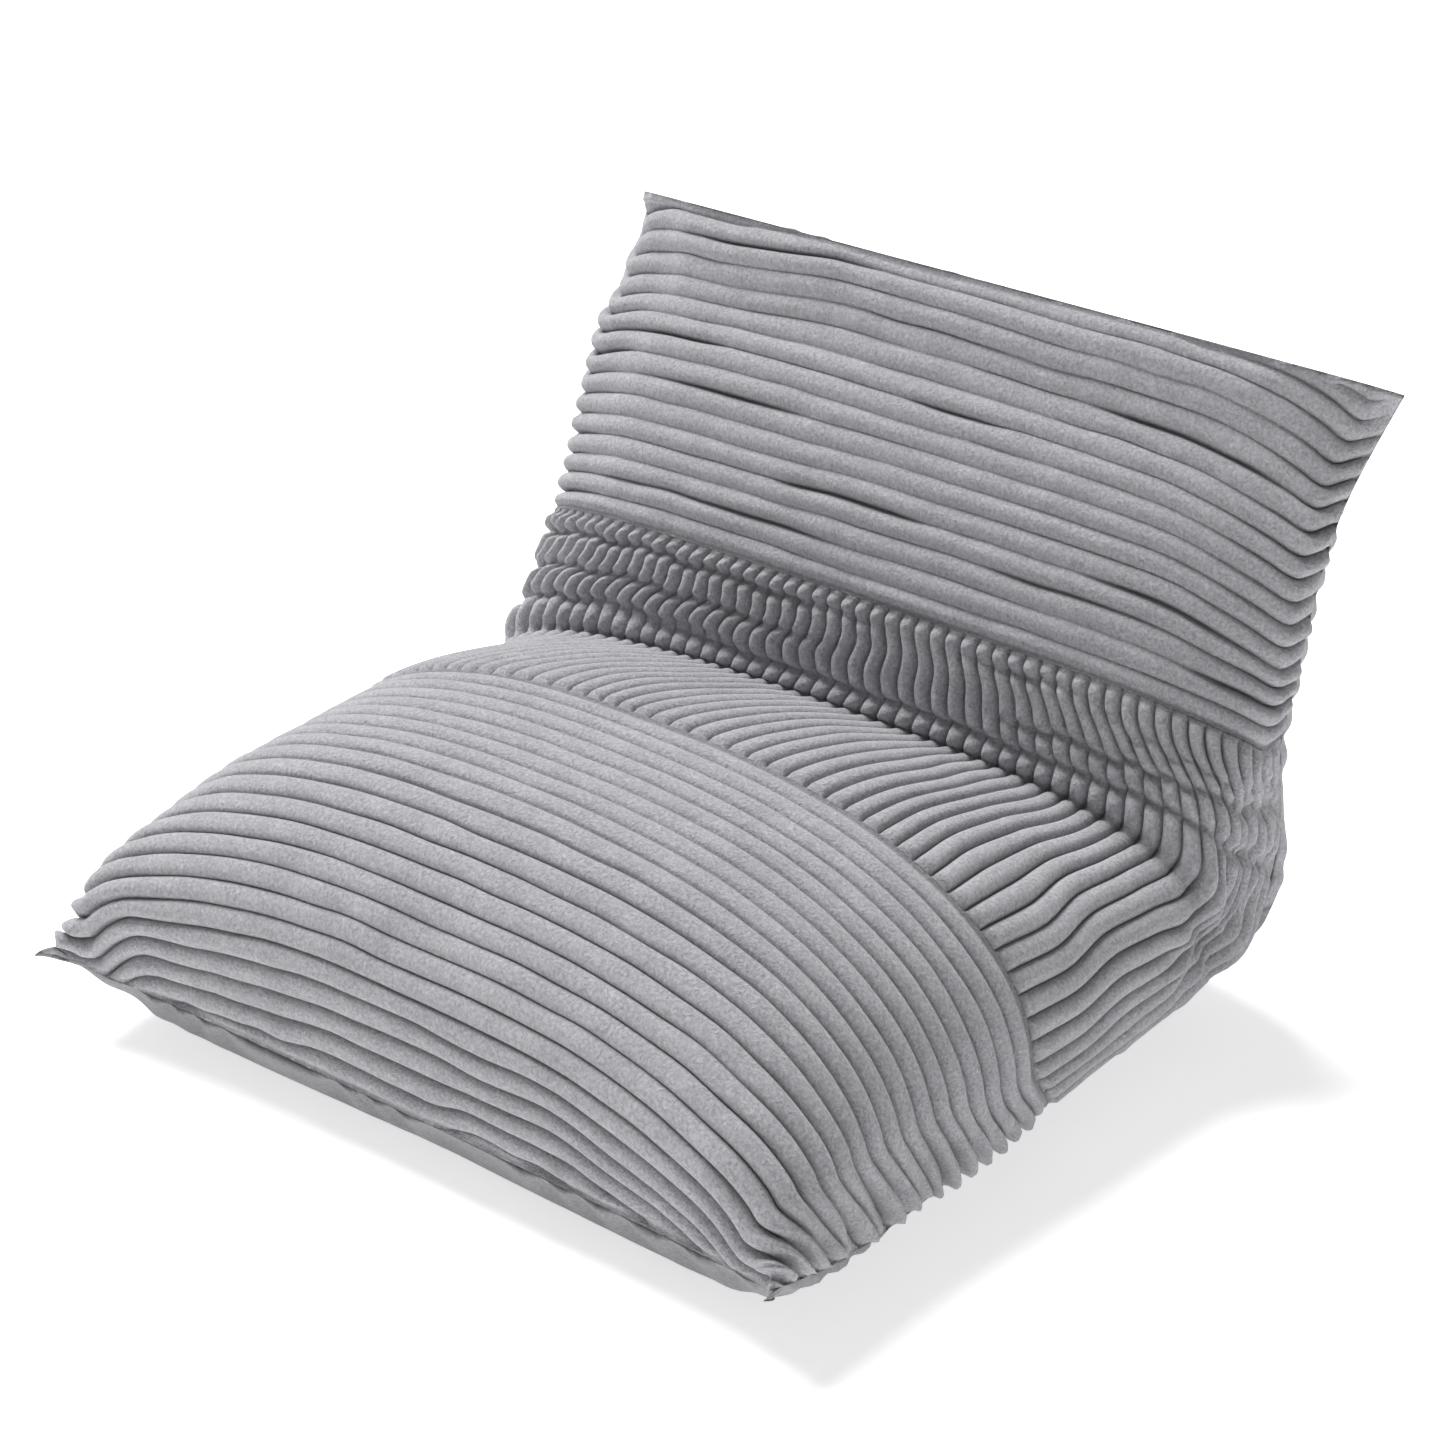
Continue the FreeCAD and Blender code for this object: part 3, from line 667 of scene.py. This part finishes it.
def makeSeat():
    columns = columnsFor(np.linspace(-1, 1, seatPanel["columns"]))
    rows, runs = columnRuns(frontSheet, seatSeamKnot, 0, columns)
    ribs = int(runs[-1].max() / seatPanel["pitch"]) + 2
    qq, cc = np.meshgrid(ribRows(ribs), np.linspace(-1, 1, seatPanel["columns"]), indexing="ij")
    rib = np.minimum(np.floor(qq), ribs - 1)
    p = qq - rib
    lastRib = runs[-1][None, :] / seatPanel["pitch"]
    nearFront = ramp(qq, lastRib - 7, lastRib - 1)
    side = ramp(np.abs(cc), 0.82, 1.0)
    wander = seatPanel["wave"] * softNoise(cc * 3.1 + 7, qq * 0.18, 1) * (0.5 + nearFront)
    wander = wander + 0.0010 * softNoise(cc * 11, qq * 0.9, 2)
    wander = wander + seatPanel["frontWave"] * nearFront * softNoise(cc * 5.5 + 3, qq * 0.22, 3)
    s = np.clip(seatPanel["pitch"] * qq + wander * ramp(qq, 0, 2), 0, None)
    rowAt, left = rowsAtDistance(rows, runs, s)
    toSide = ramp(np.abs(cc), 0.55, 0.90)
    relief = seatPanel["relief"] + (seatPanel["sideRelief"] - seatPanel["relief"]) * toSide
    relief = relief * (1 + 0.22 * softNoise(cc * 5, rib * 1.7, 5)) * (1 + 0.45 * nearFront)
    crest = ribShape(p)
    lift = relief * (crest - 0.72)
    # each rib swells and pinches along its length, most of all near the sides
    swells = 0.0007 * softNoise(cc * 16, rib * 2.3, 6) + 0.0024 * side * softNoise(cc * 40, rib * 3.1, 7)
    lift += crest * swells
    # gathers that run in from the side seams
    gather = ramp(np.abs(cc), 0.84, 0.97)
    lift += seatPanel["pucker"] * gather * np.sin(s / 0.029 * math.tau + 5 * softNoise(cc * 4, s * 9, 8))
    # hand-sized dents along the front seam, where the filling is thin
    atSeam = 1 - ramp(left, 0.004, 0.055)
    lift -= seatPanel["frontDent"] * atSeam * np.clip(softNoise(cc * 6 + 1, s * 6, 9) * 1.4, 0, 1)
    lift += 0.0030 * atSeam * softNoise(cc * 15, s * 26, 10)
    gaps = [s, left, (1 - np.abs(cc)) * 0.46]
    lift = seamed(lift, gaps) * cornerHold(rowAt, cc)
    # painted shade: darker in the grooves, more so at the sides and near the front, and along the seams
    grooveShade = np.clip((0.55 - crest) * 1.5, 0, 1) * (0.55 + 0.35 * side + 0.2 * nearFront)
    grooveShade = np.clip(np.maximum(grooveShade, 0.7 * bump(np.minimum(s, left), 0.001, 0.003)), 0, 1)
    plushPanel("seatPanelPlush", rowAt, columns[None, :] + qq * 0, lift, gaps, grooveShade,
               ("seat_panel", 0.75), backwards=True)


# backrest panel: the same ribs, fuller, with deep folds near the sides
backrest = {
    "pitch": 0.0212,
    "columns": 221,
    "relief": 0.0050,
    "sideRelief": 0.0125,
    "wave": 0.0034,
    "topWave": 0.0110,
    "droop": 0.013,          # how far the ribs hang down at the right side
    "deepGroove": 0.0060,
    "pucker": 0.0022,
}


def makeBackrest():
    columns = columnsFor(np.linspace(-1, 1, backrest["columns"]))
    rows, runs = columnRuns(frontSheet, backSeamKnot, bagForm["rows"] - 1, columns)
    ribs = int(runs[-1].max() / backrest["pitch"]) + 3
    qq, cc = np.meshgrid(ribRows(ribs), np.linspace(-1, 1, backrest["columns"]), indexing="ij")
    rib = np.minimum(np.floor(qq), ribs - 1)
    p = qq - rib
    lastRib = runs[-1][None, :] / backrest["pitch"]
    nearTop = ramp(qq, lastRib - 7, lastRib - 1)
    side = ramp(np.abs(cc), 0.80, 1.0)
    wander = backrest["wave"] * softNoise(cc * 2.7 + 2, qq * 0.22, 11)
    topShape = bump(cc, 0.1, 0.5) + 0.5 * softNoise(cc * 4, qq * 0.2, 13)
    wander = wander + backrest["topWave"] * nearTop * topShape
    wander = wander + 0.0010 * softNoise(cc * 10, qq * 0.9, 12)
    wander = wander - backrest["droop"] * ramp(cc, 0.60, 1.0) * ramp(qq, 0, 5)
    s = np.clip(backrest["pitch"] * qq + wander * ramp(qq, 0, 2), 0, None)
    rowAt, left = rowsAtDistance(rows, runs, s)
    relief = backrest["relief"] + (backrest["sideRelief"] - backrest["relief"]) * ramp(np.abs(cc), 0.72, 0.97)
    relief = relief * (1 + 0.3 * softNoise(cc * 4, rib * 1.9, 14))
    # soft and shallow across the middle, round and tight at the sides
    crest = ribShape(p, 2.0, 0.85) * (1 - side) + ribShape(p, 2.4, 0.55) * side
    lift = relief * (crest - 0.68)
    swells = 0.0009 * softNoise(cc * 13, rib * 2.7, 15) + 0.0014 * side * softNoise(cc * 30, rib * 3.3, 16)
    lift += crest * swells
    # some grooves close up into deep folds for part of their length
    atGroove = np.exp(-(np.minimum(p, 1 - p) / 0.12) ** 2)
    line = np.round(qq)
    deep = np.clip(softNoise(cc * 2.6 + line * 5.3, line * 1.37, 17) * 2.4 - 0.6 + 0.9 * side, 0, 1)
    lift -= backrest["deepGroove"] * atGroove * deep * (1 - 0.6 * side)
    gather = ramp(np.abs(cc), 0.90, 0.99)
    lift += backrest["pucker"] * gather * softNoise(cc * 30, s * 60, 18)
    # wavy folds under the ears and the top seam
    ear = bump(cc, -0.82, 0.2) + 0.5 * bump(cc, 0.86, 0.16)
    lift += 0.0050 * nearTop * ear * softNoise(cc * 13, s * 30, 19)
    atSeam = 1 - ramp(left, 0.004, 0.05)
    lift -= 0.0050 * atSeam * np.clip(softNoise(cc * 5 + 4, s * 6, 20) * 1.4, 0, 1)
    gaps = [s, left, (1 - np.abs(cc)) * 0.46]
    lift = seamed(lift, gaps[:2])
    lift = lift * ramp(gaps[2], 0, 0.004) * cornerHold(rowAt, cc)
    # painted shade: darker in the grooves, more so at the sides, in the deep folds and along the seams
    grooveShade = np.clip((0.50 - crest) * 1.3, 0, 1) * (0.22 + 0.6 * side) + 0.7 * atGroove * deep
    grooveShade = np.clip(np.maximum(grooveShade, 0.7 * bump(np.minimum(s, left), 0.001, 0.003)), 0, 1)
    plushPanel("backrestPanelPlush", rowAt, columns[None, :] + qq * 0, lift, gaps, grooveShade,
               ("backrest_panel", 0.85))


# lumbar band: ribs run front to back, gathered into beads behind the crease
lumbar = {
    "pitch": 0.0215,
    "rowCount": 130,
    "seatRelief": 0.0092,
    "beadRelief": 0.0150,
    "creaseDepth": 0.0050,
    "creaseFill": 0.0060,
    "beadLength": 0.023,
    "pinchWidth": 0.0038,
    "zigzag": 0.21,           # share of a rib that the beads lean to and fro
    "starAt": (0.86, 0.004),  # across share, distance past the crease
}


def pinchLines(cc, rib):
    # distance past the crease and strength of each line that pinches the ribs into beads
    length = backSeamWay - creaseWay
    bead = lumbar["beadLength"]
    jitter = (hashed(rib, 3.0, 21) - 0.5) * 0.006
    left, right = 1 - ramp(cc, -0.35, -0.10), ramp(cc, 0.30, 0.45)
    return [
        (bead + 0.018 * ramp(cc, 0.45, 0.9) + jitter * 0.5, 0.96 * ramp(cc, -0.62, -0.30)),
        (bead + 0.006 + jitter, 0.90 * left),
        (2 * bead + 0.020 * ramp(cc, 0.5, 0.9) + jitter, 0.90 * right),
        (2.5 * bead + jitter, 0.75 * (1 - ramp(cc, -0.25, 0.1))),
        (length - 0.020 + jitter, 0.92 * (1 - ramp(cc, -0.2, 0.2)) + 0.7 * bump(cc, 0.42, 0.10)),
        (length - 0.034 + jitter * 2, 0.45 * ramp(cc, 0.5, 0.7)),
    ]


def makeLumbar():
    ribs = int(round(cumulative(frontSheet[seamRow])[-1] / lumbar["pitch"]))
    q = ribRows(ribs)
    t = np.linspace(0, 1, lumbar["rowCount"])
    tt, qq = np.meshgrid(t, q, indexing="ij")
    s = seatSeamWay + (backSeamWay - seatSeamWay) * tt
    rib = np.minimum(np.floor(qq), ribs - 1)
    p = qq - rib
    straight = qq / ribs * 2 - 1
    side = ramp(np.abs(straight), 0.84, 1.0)
    creaseLine = creaseWay + 0.0035 * softNoise(straight * 4, straight * 0 + 5, 22)
    past = s - creaseLine
    behind = ramp(past, -0.004, 0.004)
    # ribs lean to and fro behind the crease and fan out a little in front of it
    drift = 1.2 * softNoise(straight * 3, tt * 2, 23)
    swing = np.sin((past / (2.3 * lumbar["beadLength"])) * math.tau + drift)
    lean = lumbar["zigzag"] * (1 - 0.6 * ramp(straight, -0.2, 0.6)) * behind * swing
    lean = lean + 0.35 * (1 - behind) * softNoise(straight * 6, tt * 5, 24)
    inner = ramp(np.minimum(qq, ribs - qq), 0, 2)
    cc = straight + lean * inner * 2 / ribs
    # near the end of the crease the ribs are drawn to one point
    for way in (-1, 1):
        star = bump(cc, way * lumbar["starAt"][0], 0.10) * bump(past, lumbar["starAt"][1], 0.035)
        cc = cc - (cc - way * lumbar["starAt"][0]) * 0.45 * star
    crest = ribShape(p)
    relief = lumbar["seatRelief"] + (lumbar["beadRelief"] - lumbar["seatRelief"]) * behind
    relief = relief * (1 + 0.2 * (hashed(rib, 1.0, 25) - 0.5)) * (1 - 0.35 * side)
    full = np.ones_like(past)
    for place, strength in pinchLines(straight, rib):
        full = full * (1 - strength * np.exp(-((past - place) / lumbar["pinchWidth"]) ** 2))
    full = 1 - (1 - full) * behind
    lift = relief * (crest * (0.12 + 0.88 * full) - 0.62)
    lift += behind * crest * 0.0012 * softNoise(straight * 30, past * 60, 26)
    valley = np.exp(-(past / 0.0045) ** 2)
    lift -= lumbar["creaseDepth"] * valley
    # the first beads fill the crease
    lift += lumbar["creaseFill"] * bump(past, 0.010, 0.016)
    for way in (-1, 1):
        away = np.hypot((cc - way * lumbar["starAt"][0]) * 0.44, past - lumbar["starAt"][1])
        lift -= 0.013 * np.exp(-(away / 0.020) ** 2)
        spokes = np.sin(np.arctan2(past - lumbar["starAt"][1], (cc - way * lumbar["starAt"][0]) * 0.44) * 7)
        lift += 0.0030 * spokes * np.exp(-((away - 0.030) / 0.020) ** 2)
    lift += 0.0030 * side * softNoise(straight * 30, s * 40, 27)
    gaps = [s - seatSeamWay, backSeamWay - s, (1 - np.abs(straight)) * 0.44]
    lift = seamed(lift, gaps)
    # painted shade: dark grooves in front of the crease, lighter ones behind it, a dark crease, and dark
    # lines along the seams
    grooveShade = np.clip((0.5 - crest * full) * 1.6, 0, 1) * (0.85 - 0.75 * behind) + 0.25 * valley
    grooveShade = np.clip(np.maximum(grooveShade, 0.7 * bump(np.minimum(gaps[0], gaps[1]), 0.001, 0.003)), 0, 1)
    plushPanel("lumbarBandPlush", rowAtWay(frontWay, s), columnsFor(np.clip(cc, -1, 1)), lift, gaps, grooveShade,
               ("lumbar_band", 0.7))


# smooth panels behind and below, parted by the zip
smooth = {
    "columns": 151,
    "rearRows": 120,
    "baseRows": 130,
    "zipHeight": (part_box("zip_tape_upper")[0][2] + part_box("zip_tape_lower")[1][2]) / 2,
    "slotHalf": 0.252,
    "lipWidth": 0.0035,
    "endDip": 0.0062,        # how far the cloth dips beyond the slot
    "dipWidth": 0.0068,
    "dipFrom": (0.238, 0.248),
    "dipTo": (0.267, 0.276),
    "tapeAcross": (0.272, 0.300),
    "tapeUp": (0.018, 0.034),
    "outsideTapes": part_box("zip_tape_lower")[1][1] + 0.0030,
    "slotOpen": 0.006,
    "lipDepth": 0.0048,      # how far the edges turn in to meet the tapes
    "wrinkle": 0.0016,
}


def rowAtHeight(height, columns):
    # the row where the rear sheet passes a height, for each column
    found = np.empty((len(height), len(columns)))
    rows = np.linspace(knotRow[creaseKnot], knotRow[backSeamKnot], 200)
    grid = sampleSheet(rearSheet, rows[:, None] + columns * 0, columns[None, :] + rows[:, None] * 0)[..., 2]
    for j in range(len(columns)):
        rising = np.maximum.accumulate(grid[:, j] + np.arange(len(rows)) * 1e-7)
        found[:, j] = np.interp(height[:, j] if height.ndim > 1 else height, rising, rows)
    return found


def slotShare(columns):
    x = sampleSheet(rearSheet, np.full_like(columns, knotRow[heelKnot]), columns)[..., 0]
    return 1 - ramp(np.abs(x), smooth["slotHalf"] - 0.002, smooth["slotHalf"] + 0.004)


def makeSmooth(name, rows, upward, material, replaced):
    columns = columnsFor(np.linspace(-1, 1, smooth["columns"]))
    share = slotShare(columns)
    gap = smooth["slotOpen"] * share * (1 if upward else -1)
    split = rowAtHeight((smooth["zipHeight"] + gap)[None, :], columns)[0]
    t = np.linspace(0, 1, rows)
    # rows crowd together beside the slot, where the edge turns in
    t = t ** 1.5 if upward else 1 - (1 - t) ** 1.5
    last = bagForm["rows"] - 1
    if upward:
        rowAt = split[None, :] + (last - split[None, :]) * t[:, None]
    else:
        rowAt = split[None, :] * t[:, None]
    cc = np.linspace(-1, 1, smooth["columns"])[None, :] + rowAt * 0
    base = sampleSheet(rearSheet, rowAt, columns[None, :] + rowAt * 0)
    along = rowAt / last
    lift = smooth["wrinkle"] * softNoise(cc * 5, along * 17, 31) + 0.0007 * softNoise(cc * 16, along * 50, 32)
    side = ramp(np.abs(cc), 0.80, 1.0)
    lift = lift + 0.0026 * side * np.sin(along * 210 + 4 * softNoise(cc * 3, along * 20, 33))
    ends = np.minimum(along, 1 - along)
    lift = lift + 0.0032 * (1 - ramp(ends, 0, 0.09)) * np.sin(cc * 46 + 5 * softNoise(cc * 4, along * 6, 34))
    lift = lift * ramp(base[..., 2], 0.001, 0.03)
    fromSplit = np.linalg.norm(base - base[0 if upward else -1][None], axis=-1)
    lift = lift * ramp(fromSplit, 0.004, 0.05)
    # the edges of the slot turn in towards the tapes
    base[..., 1] -= smooth["lipDepth"] * np.exp(-(fromSplit / smooth["lipWidth"]) ** 2) * share[None, :]
    # the seam dips beyond the slot, so that the pull tab lies clear of the cloth
    out = np.abs(base[..., 0])
    beyond = ramp(out, *smooth["dipFrom"]) * (1 - ramp(out, *smooth["dipTo"]))
    base[..., 1] -= smooth["endDip"] * np.exp(-(fromSplit / smooth["dipWidth"]) ** 2) * beyond
    # and the cloth lies outside the tapes all the way to their ends
    up = np.abs(base[..., 2] - smooth["zipHeight"])
    byTapes = (1 - ramp(out, *smooth["tapeAcross"])) * (1 - ramp(up, *smooth["tapeUp"]))
    base[..., 1] += np.clip(smooth["outsideTapes"] - base[..., 1], 0, None) * byTapes
    toEnd = np.linalg.norm(base - base[-1 if upward else 0][None], axis=-1)
    gaps = [fromSplit, toEnd, (1 - np.abs(cc)) * 0.45]
    lift = seamed(lift, gaps[1:], 0.006) * cornerHold(rowAt, cc)
    # painted shade along the zip slot and along the end seams
    grooveShade = np.clip(0.6 * np.exp(-(fromSplit / 0.003) ** 2) + 0.6 * bump(toEnd, 0.001, 0.004), 0, 1)
    normals = outwardAt(rearNormals, rowAt, columns[None, :] + rowAt * 0)
    body = ramp(gaps[0], 0, 0.010) * ramp(gaps[1], 0, 0.010) * ramp(gaps[2], 0, 0.010)
    outer = base + normals * lift[..., None]
    inner = base + normals * (np.minimum(lift, 0) - plush["wall"] * body)[..., None]
    keepOffFloor(outer, inner, body)
    piece = makeShell(name, outer, inner, material, grooveShade, True)
    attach(piece, "bag")
    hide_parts(replaced)
    print(name, "made,", len(piece.data.polygons), "faces")


# what is inside the cover: the liner in two halves, and the foam
inside = {"linerInset": 0.020, "foamInset": 0.026, "linerWall": 0.0009, "across": 0.92, "rows": 90,
          "columns": 90}


def insideGrids(inset, crumple, seed):
    rows, columns = inside["rows"], inside["columns"]
    rowAt = np.linspace(knotRow[1] + 3, bagForm["rows"] - 7, rows)[:, None] + np.zeros((1, columns))
    share = np.linspace(-inside["across"], inside["across"], columns)
    columnAt = columnsFor(share)[None, :] + np.zeros((rows, 1))
    ahead, behind = sampleSheet(frontSheet, rowAt, columnAt), sampleSheet(rearSheet, rowAt, columnAt)
    middle, half = (ahead + behind) / 2, (ahead - behind) / 2
    reach = np.linalg.norm(half, axis=-1, keepdims=True) + 1e-9
    closing = np.minimum.outer(roundedEnds(rows), roundedEnds(columns))
    lumps = crumple * softNoise(columnAt * 0.9, rowAt * 1.1, seed)[..., None]
    keep = np.maximum(0, 1 - (inset + lumps) / reach) * closing[..., None]
    near, far = middle + half * keep, middle - half * keep
    for grid in (near, far):
        grid[..., 2] = np.maximum(grid[..., 2], inset * 0.6)
    return near, far


def roundedEnds(count):
    # full in the middle and closing to nothing, like a cushion, at both ends
    return np.sqrt(np.clip(1 - np.abs(np.linspace(-1, 1, count)) ** 8, 0, 1))


def makeInside():
    near, far = insideGrids(inside["linerInset"], 0.0016, 41)
    middle = (near + far) / 2
    none = np.zeros(near.shape[:2])
    for name, grid, replaced, flip in (("linerFront", near, "liner_front", False),
                                       ("linerRear", far, "liner_rear", True)):
        reach = np.linalg.norm(grid - middle, axis=-1, keepdims=True) + 1e-9
        inner = grid + (middle - grid) * np.minimum(1, inside["linerWall"] / reach)
        piece = makeShell(name, grid, inner, linerCloth, none, flip)
        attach(piece, "bag")
        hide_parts(replaced)
    near, far = insideGrids(inside["foamInset"], 0.0030, 43)
    foam = makeShell("foamFill", near, far, shreddedFoam, none)
    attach(foam, "bag")
    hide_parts("foam_fill")
    print("liner and foam made")


makeSeat()
makeBackrest()
makeLumbar()
makeSmooth("rearPanelPlush", smooth["rearRows"], True, smoothPlush, "rear_panel")
makeSmooth("basePanelPlush", smooth["baseRows"], False, underPlushShaded, "base_panel")
makeInside()


# zip
coil = {"pitch": 0.0015, "wire": 0.00032, "tilt": 14, "around": 8, "thick": 5, "reach": 0.0002}


def makeCoil(name, node, toMiddle):
    low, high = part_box(node)
    middle = [(a + b) / 2 for a, b in zip(low, high)]
    length = high[0] - low[0]
    count = int(length / coil["pitch"]) - 1
    start = low[0] + coil["pitch"] * (1.0 if toMiddle < 0 else 0.5)
    high2 = (high[2] - low[2]) / 2 + coil["reach"] / 2 - coil["wire"]
    deep = (high[1] - low[1]) / 2 - coil["wire"]
    bpy.ops.object.select_all(action="DESELECT")
    bpy.ops.mesh.primitive_torus_add(major_segments=coil["around"], minor_segments=coil["thick"],
                                     major_radius=high2, minor_radius=coil["wire"],
                                     location=(start, middle[1], middle[2] + toMiddle * coil["reach"] / 2),
                                     rotation=(0, math.radians(90), math.radians(coil["tilt"])))
    teeth = bpy.context.object
    teeth.name = name
    teeth.scale = (1, deep / high2, 1)
    bpy.ops.object.transform_apply(location=True, rotation=True, scale=True)
    row = teeth.modifiers.new("row", "ARRAY")
    row.use_relative_offset = False
    row.use_constant_offset = True
    row.constant_offset_displace = (coil["pitch"], 0, 0)
    row.count = count
    applyModifier(teeth, "row")
    # the cord that the coil is wound round
    bpy.ops.object.select_all(action="DESELECT")
    bpy.ops.mesh.primitive_cylinder_add(vertices=10, radius=0.00042, depth=length - 0.0004,
                                        location=(middle[0], middle[1], middle[2] - toMiddle * 0.0002),
                                        rotation=(0, math.radians(90), 0))
    bpy.ops.object.transform_apply(location=True, rotation=True, scale=True)
    teeth.select_set(True)
    bpy.context.view_layer.objects.active = teeth
    bpy.ops.object.join()
    teeth.data.materials.clear()
    teeth.data.materials.append(coilNylon)
    bpy.ops.object.shade_smooth()
    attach(teeth, "bag")
    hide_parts(node)
    print(name, "made,", len(teeth.data.polygons), "faces")


makeCoil("zipCoilUpper", "zip_coil_upper", -1)
makeCoil("zipCoilLower", "zip_coil_lower", 1)

for node, material in (("zip_tape_upper", tapeWeave), ("zip_tape_lower", tapeWeave),
                       ("zip_top_stop", zipMetal), ("zip_bottom_stop", zipMetal),
                       ("zip_slider", zipMetal), ("zip_pull_tab", zipMetal)):
    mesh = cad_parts[node].data
    mesh.materials.clear()
    mesh.materials.append(material)
print("zip made")

# floor, light and camera
studio = {
    "floor": 0.93,
    "floorGlow": 0.55,
    "sky": 0.28,
    "sunPower": 4.8,
    "sunAngle": 32,
    "sunFrom": (-0.54, 0.16, 0.82),
    "azimuth": 40.08,
    "elevation": 25.77,
    "distance": 3.5708,
    "target": (0.0003, 0.0088, 0.2779),
    "lens": 97.9,
}


def makeStudio():
    bpy.ops.object.select_all(action="DESELECT")
    bpy.ops.mesh.primitive_plane_add(size=60, location=(0, 0, -0.0005))
    floor = bpy.context.object
    floor.name = "studioFloor"
    material, tree, shader = newMaterial("paleFloor")
    place = addNode(tree, "ShaderNodeTexCoord").outputs["Object"]
    cloud = addNode(tree, "ShaderNodeTexNoise", {"Vector": place}, {"Scale": 1.5, "Detail": 1.0})
    level = studio["floor"]
    tint = colourSteps(tree, cloud.outputs["Fac"], [(0.3, (level * 0.99,) * 3), (0.7, (level,) * 3)])
    tree.links.new(tint, shader.inputs["Base Color"])
    shader.inputs["Roughness"].default_value = 0.9
    shader.inputs["Specular IOR Level"].default_value = 0.0
    shader.inputs["Emission Color"].default_value = (1, 1, 1, 1)
    shader.inputs["Emission Strength"].default_value = studio["floorGlow"]
    floor.data.materials.append(material)
    world = bpy.data.worlds.new("studioWorld")
    world.use_nodes = True
    world.node_tree.nodes["Background"].inputs["Color"].default_value = (1, 1, 1, 1)
    world.node_tree.nodes["Background"].inputs["Strength"].default_value = studio["sky"]
    bpy.context.scene.world = world
    light = bpy.data.lights.new("studioSun", "SUN")
    light.energy = studio["sunPower"]
    light.angle = math.radians(studio["sunAngle"])
    sun = bpy.data.objects.new("studioSun", light)
    sun.rotation_mode = "QUATERNION"
    sun.rotation_quaternion = Vector(studio["sunFrom"]).to_track_quat("Z", "Y")
    bpy.context.scene.collection.objects.link(sun)
    lens = bpy.data.cameras.new("camera")
    lens.lens = studio["lens"]
    lens.sensor_width = 36
    camera = bpy.data.objects.new("camera", lens)
    turn, rise = math.radians(studio["azimuth"]), math.radians(studio["elevation"])
    back = Vector((math.sin(turn) * math.cos(rise), -math.cos(turn) * math.cos(rise), math.sin(rise)))
    camera.location = Vector(studio["target"]) + back * studio["distance"]
    camera.rotation_mode = "QUATERNION"
    camera.rotation_quaternion = (-back).to_track_quat("-Z", "Y")
    bpy.context.scene.collection.objects.link(camera)
    bpy.context.scene.camera = camera
    bpy.context.scene.view_settings.view_transform = "Standard"


makeStudio()
print("studio ready")
